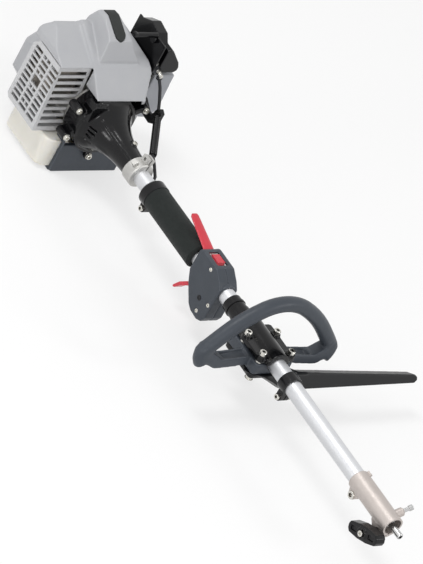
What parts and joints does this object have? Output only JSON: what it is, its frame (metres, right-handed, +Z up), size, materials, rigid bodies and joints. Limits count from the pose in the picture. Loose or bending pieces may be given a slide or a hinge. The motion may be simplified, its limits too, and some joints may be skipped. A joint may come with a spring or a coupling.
{
  "type": "string trimmer power unit",
  "caption": "Hand-held engine power unit of a split-shaft trimmer with a quick coupling, loop handle, barrier bar, rear grip and throttle.",
  "frame": {"origin": "centre of the coupling mouth on the shaft axis", "axes": "+X along the shaft and out of the coupling mouth, +Y towards the air filter side, +Z up"},
  "size_m": [1.0343, 0.4206, 0.2301],
  "materials": {
    "tube_alloy": "satin anodised",
    "cast_alloy": "as cast, lightly blasted",
    "coupling_coat": "satin warm grey coating",
    "steel": "turned and plated",
    "zinc_screws": "zinc plated",
    "iron": "machined",
    "black_nylon": "glossy moulded glass-filled nylon",
    "black_plastic": "matte moulded",
    "slate_plastic": "matte moulded slate",
    "shroud_plastic": "fine spark texture, light warm grey",
    "cover_grey": "fine spark texture, mid grey",
    "tank_plastic": "translucent blow-moulded polyethylene",
    "red_plastic": "moulded red",
    "white_plastic": "moulded white",
    "grip_rubber": "foamed rubber",
    "hard_rubber": "moulded rubber",
    "primer_rubber": "clear urethane",
    "foam": "open-cell foam",
    "ceramic": "glazed ceramic and plated steel",
    "rope_fibre": "braided cord"
  },
  "bodies": {
    "root": {"upper_tube": "tube_alloy", "shaft_bushes": "black_plastic", "coupling_body": "coupling_coat", "knob_bolt": "zinc_screws", "harness_band": "black_nylon", "spacer_collar": "black_nylon", "pinch_screws": "zinc_screws", "handle_clamp": "black_nylon", "loop_handle": "slate_plastic", "barrier_bar": "black_plastic", "handle_screws": "zinc_screws", "rear_grip": "grip_rubber", "grip_collar": "black_nylon", "control_shell_left": "slate_plastic", "control_shell_right": "slate_plastic", "control_screws": "zinc_screws", "switch_bezel": "white_plastic", "throttle_cable": "black_plastic", "cable_sleeve": "black_plastic", "clamp_ring": "cast_alloy", "clutch_housing": "black_nylon", "ball_bearings": "steel", "crankcase": "cast_alloy", "cylinder_block": "cast_alloy", "spark_plug": "ceramic", "plug_cap": "hard_rubber", "ignition_coil": "iron", "muffler": "iron", "muffler_guard": "shroud_plastic", "engine_shroud": "shroud_plastic", "shroud_pad": "hard_rubber", "fuel_tank": "tank_plastic", "tank_stand": "slate_plastic", "carburettor": "cast_alloy", "filter_base": "black_nylon", "filter_cover": "cover_grey", "filter_element": "foam", "starter_housing": "shroud_plastic", "engine_screws": "zinc_screws"},
    "clamp_knob": {"clamp_knob": "black_nylon"},
    "lock_pin": {"lock_pin": "steel", "pin_spring": "steel"},
    "trigger": {"throttle_trigger": "red_plastic"},
    "lockout": {"lockout_lever": "red_plastic"},
    "stop_slider": {"stop_switch": "red_plastic"},
    "drive_line": {"drive_shaft": "steel", "drive_socket": "steel", "clutch_drum": "steel"},
    "crank": {"crankshaft": "steel", "flywheel": "cast_alloy", "clutch_shoes": "iron"},
    "piston": {"piston": "cast_alloy", "connecting_rod": "cast_alloy"},
    "choke": {"choke_lever": "black_nylon"},
    "throttle": {"throttle_arm": "zinc_screws"},
    "primer": {"primer_bulb": "primer_rubber"},
    "pull_handle": {"starter_handle": "hard_rubber", "starter_rope": "rope_fibre"},
    "pulley": {"starter_pulley": "black_plastic"},
    "fuel_cap": {"fuel_cap": "black_nylon"}
  },
  "joints": [
    {"name": "knob_turn", "type": "hinge", "parent": "root", "child": "clamp_knob", "pos_m": [-0.013, 0, -0.0227], "axis": [0, 1, 0], "range_deg": [0, 540]},
    {"name": "pin_pull", "type": "slide", "parent": "root", "child": "lock_pin", "axis": [0, 0.891, 0.454], "range_m": [0, 0.0055], "stiffness_N_per_m": 900, "springref_m": -0.004, "deforming": ["pin_spring"]},
    {"name": "trigger_squeeze", "type": "hinge", "parent": "root", "child": "trigger", "pos_m": [-0.497, 0, -0.03], "axis": [0, 1, 0], "range_deg": [0, 18], "stiffness_Nm_per_rad": 0.6, "springref_deg": -8.59},
    {"name": "lockout_press", "type": "hinge", "parent": "root", "child": "lockout", "pos_m": [-0.5365, 0, 0.0195], "axis": [0, -1, 0], "range_deg": [0, 11], "stiffness_Nm_per_rad": 0.5, "springref_deg": -8.59},
    {"name": "switch_slide", "type": "slide", "parent": "root", "child": "stop_slider", "axis": [1, 0, 0], "range_m": [-0.004, 0.004]},
    {"name": "drive_spin", "type": "hinge", "parent": "root", "child": "drive_line", "pos_m": [0, 0, 0], "axis": [1, 0, 0], "continuous": true},
    {"name": "engine_spin", "type": "hinge", "parent": "root", "child": "crank", "pos_m": [-0.85, 0, 0], "axis": [1, 0, 0], "continuous": true},
    {"name": "piston_stroke", "type": "slide", "parent": "root", "child": "piston", "axis": [0, 0, 1], "range_m": [-0.028, 0]},
    {"name": "choke_turn", "type": "hinge", "parent": "root", "child": "choke", "pos_m": [-0.906, 0, 0.112], "axis": [0, 1, 0], "range_deg": [0, 60]},
    {"name": "throttle_turn", "type": "hinge", "parent": "root", "child": "throttle", "pos_m": [-0.891, 0, 0.075], "axis": [0, 1, 0], "range_deg": [0, 45]},
    {"name": "primer_press", "type": "slide", "parent": "root", "child": "primer", "axis": [1, 0, 0], "range_m": [0, 0.004], "stiffness_N_per_m": 400, "springref_m": -0.001},
    {"name": "starter_pull", "type": "slide", "parent": "root", "child": "pull_handle", "axis": [0, 1, 0], "range_m": [0, 0.6], "stiffness_N_per_m": 12, "springref_m": -0.25, "deforming": ["starter_rope"]},
    {"name": "pulley_spin", "type": "hinge", "parent": "root", "child": "pulley", "pos_m": [-0.9843, 0, 0], "axis": [-1, 0, 0], "range_deg": [0, 1100]},
    {"name": "cap_turn", "type": "hinge", "parent": "root", "child": "fuel_cap", "pos_m": [-0.976, 0.062, -0.068], "axis": [1, 0, 0], "range_deg": [0, 450]}
  ],
  "couplings": [
    {"joint": "throttle_turn", "follows": "trigger_squeeze", "ratio": 2.5},
    {"joint": "pulley_spin", "follows": "starter_pull", "rad_per_m": 31.496}
  ]
}
